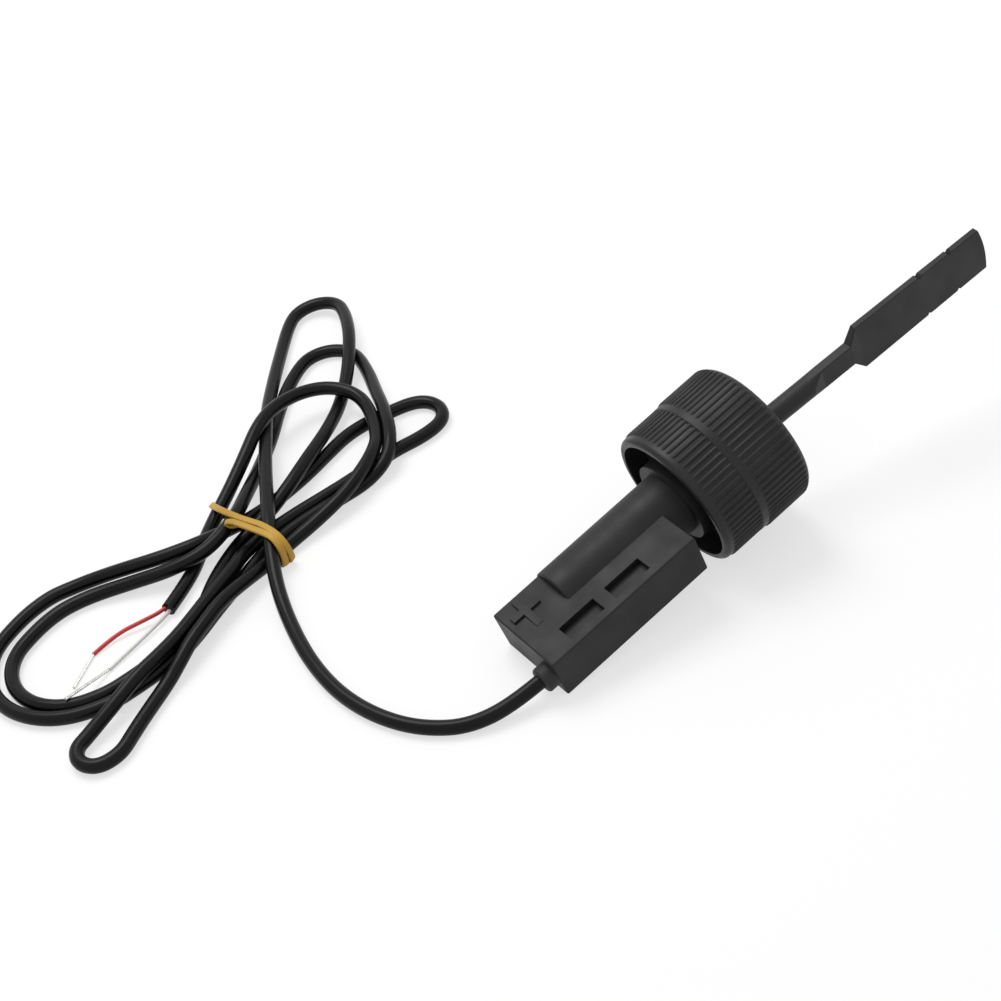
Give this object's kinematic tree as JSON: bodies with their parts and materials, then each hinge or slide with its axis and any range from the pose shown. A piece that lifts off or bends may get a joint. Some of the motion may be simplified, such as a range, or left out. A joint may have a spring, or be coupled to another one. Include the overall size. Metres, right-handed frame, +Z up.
{
  "type": "paddle flow switch",
  "caption": "Flow switch with a hinged paddle on a stem, a loose ribbed union nut, a tube with a reed switch block and a tied two-core lead.",
  "frame": {"origin": "centre of the switch's base as it lies on a table, on the table's surface; the lead is left out of the centring", "axes": "+X along the table under the tube axis, towards the paddle; +Y to the tube's side; +Z up"},
  "size_m": [0.2749, 0.1975, 0.053],
  "materials": {
    "body_plastic": "satin moulded black",
    "insert_plastic": "satin moulded black",
    "nut_plastic": "satin moulded black, ribbed",
    "paddle_plastic": "satin moulded black",
    "seal_rubber": "matte black",
    "gasket_rubber": "matte black",
    "pin_steel": "plain stainless",
    "magnet_metal": "nickel plated",
    "reed_glass": "clear",
    "reed_metal": "tinned",
    "sleeve_plastic": "matte black",
    "potting_resin": "poured, glossy black",
    "cable_jacket": "satin black",
    "core_red": "satin red",
    "core_white": "satin white",
    "tinned_copper": "tinned strands",
    "tie_rubber": "matte ochre"
  },
  "bodies": {
    "housing": {"switch_body": "body_plastic", "pivot_insert": "insert_plastic", "insert_seal": "seal_rubber", "flange_gasket": "gasket_rubber", "pivot_pin": "pin_steel", "bias_magnet": "magnet_metal", "reed_glass": "reed_glass", "reed_lead_front": "reed_metal", "reed_lead_rear": "reed_metal", "splice_sleeve_red": "sleeve_plastic", "splice_sleeve_white": "sleeve_plastic", "inner_core_red": "core_red", "inner_core_white": "core_white", "strain_relief": "cable_jacket", "potting_resin": "potting_resin", "cable_lead": "cable_jacket", "cable_hank": "cable_jacket", "tie_band": "tie_rubber", "cable_tail": "cable_jacket", "core_red": "core_red", "core_white": "core_white", "tin_red": "tinned_copper", "tin_white": "tinned_copper"},
    "nut": {"union_nut": "nut_plastic"},
    "lever": {"paddle_lever": "paddle_plastic", "lever_magnet": "magnet_metal", "magnet_cap": "paddle_plastic"}
  },
  "joints": [
    {"name": "nut_spin", "type": "hinge", "parent": "housing", "child": "nut", "pos_m": [-0.01227, 0, 0.02282], "axis": [0.9709, 0, 0.2394], "continuous": true},
    {"name": "lever_swing", "type": "hinge", "parent": "housing", "child": "lever", "pos_m": [-0.00722, 0, 0.02406], "axis": [-0.2394, 0, 0.9709], "range_deg": [0, 6.9], "stiffness_Nm_per_rad": 0.01, "springref_deg": -20.05}
  ]
}
